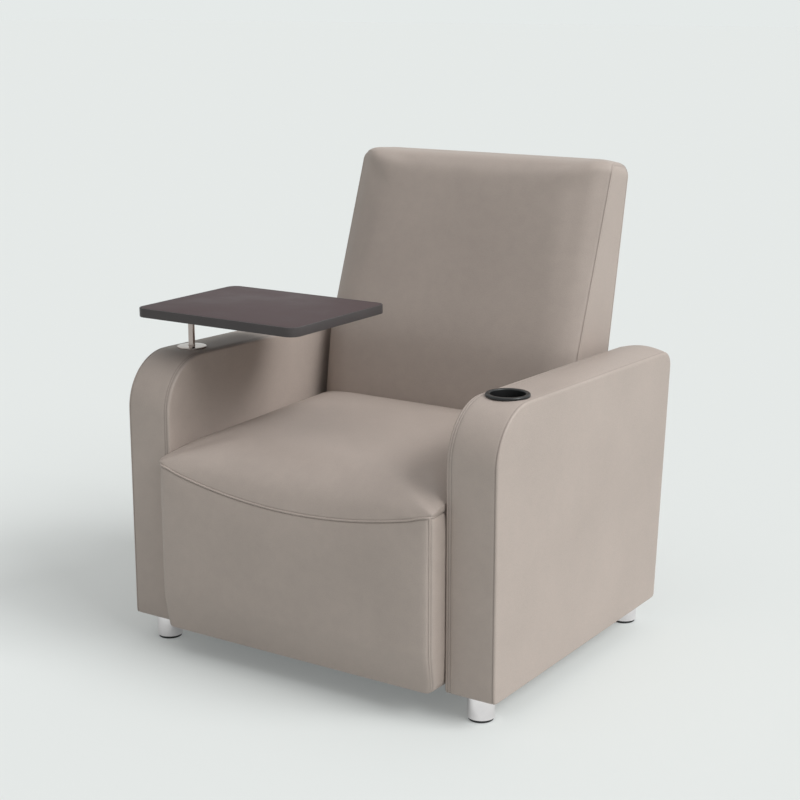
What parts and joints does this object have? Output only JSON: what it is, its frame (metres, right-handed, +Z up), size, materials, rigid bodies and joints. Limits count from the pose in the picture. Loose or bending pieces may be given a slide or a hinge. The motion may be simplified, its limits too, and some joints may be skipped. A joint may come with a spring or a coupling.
{
  "type": "guest chair",
  "caption": "Upholstered guest chair with padded arms on short round legs, a swivelling writing tablet on one arm and a cup holder let into the other.",
  "frame": {"origin": "on the floor, under the middle of the chair's box", "axes": "+Z up, -Y the way that the chair faces, +X to the right of someone who looks at its front; the tablet's arm is on the -X side"},
  "size_m": [0.832, 0.7685, 0.9419],
  "materials": {
    "vinyl": "taupe leather-look vinyl, fine grain, low sheen",
    "foam": "upholstery foam",
    "plywood": "bare plywood",
    "hardwood": "bare hardwood",
    "webbing": "woven strap",
    "dust_cloth": "black lining cloth",
    "steel": "zinc plated",
    "chrome": "bright chrome",
    "black_plastic": "satin moulded black",
    "laminate": "dark brown laminate, satin",
    "edge_band": "dark edge band, satin"
  },
  "bodies": {
    "chair": {"apron_board": "plywood", "apron_cover": "vinyl", "apron_foam": "foam", "arm_left_band_foam": "foam", "arm_left_bolt_front": "steel", "arm_left_bolt_rear": "steel", "arm_left_bottom_rail": "hardwood", "arm_left_cover": "vinyl", "arm_left_front_rail": "hardwood", "arm_left_inner_panel": "plywood", "arm_left_outer_panel": "plywood", "arm_left_rear_rail": "hardwood", "arm_left_top_rail": "hardwood", "arm_right_band_foam": "foam", "arm_right_bolt_front": "steel", "arm_right_bolt_rear": "steel", "arm_right_bottom_rail": "hardwood", "arm_right_cover": "vinyl", "arm_right_front_rail": "hardwood", "arm_right_inner_panel": "plywood", "arm_right_outer_panel": "plywood", "arm_right_rear_rail": "hardwood", "arm_right_top_rail": "hardwood", "back_bottom_rail": "hardwood", "back_cover": "vinyl", "back_foam": "foam", "back_left_upright": "hardwood", "back_rear_panel": "vinyl", "back_right_upright": "hardwood", "back_top_rail": "hardwood", "cup_holder": "black_plastic", "dust_cover": "dust_cloth", "leg_front_left": "chrome", "leg_front_left_glide": "black_plastic", "leg_front_left_hanger_bolt": "steel", "leg_front_right": "chrome", "leg_front_right_glide": "black_plastic", "leg_front_right_hanger_bolt": "steel", "leg_rear_left": "chrome", "leg_rear_left_glide": "black_plastic", "leg_rear_left_hanger_bolt": "steel", "leg_rear_right": "chrome", "leg_rear_right_glide": "black_plastic", "leg_rear_right_hanger_bolt": "steel", "post_block": "hardwood", "post_bushing": "black_plastic", "post_flange": "chrome", "seat_cover": "vinyl", "seat_foam": "foam", "seat_front_rail": "hardwood", "seat_left_rail": "hardwood", "seat_rear_rail": "hardwood", "seat_right_rail": "hardwood", "seat_webbing": "webbing"},
    "tablet": {"tablet_top": "laminate", "tablet_edge_band": "edge_band", "tablet_mount_plate": "steel", "tablet_post": "chrome", "post_collar": "steel"}
  },
  "joints": [
    {"name": "tablet_swivel", "type": "hinge", "parent": "chair", "child": "tablet", "pos_m": [-0.3645, -0.20792, 0.6], "axis": [0, 0, 1], "continuous": true}
  ]
}
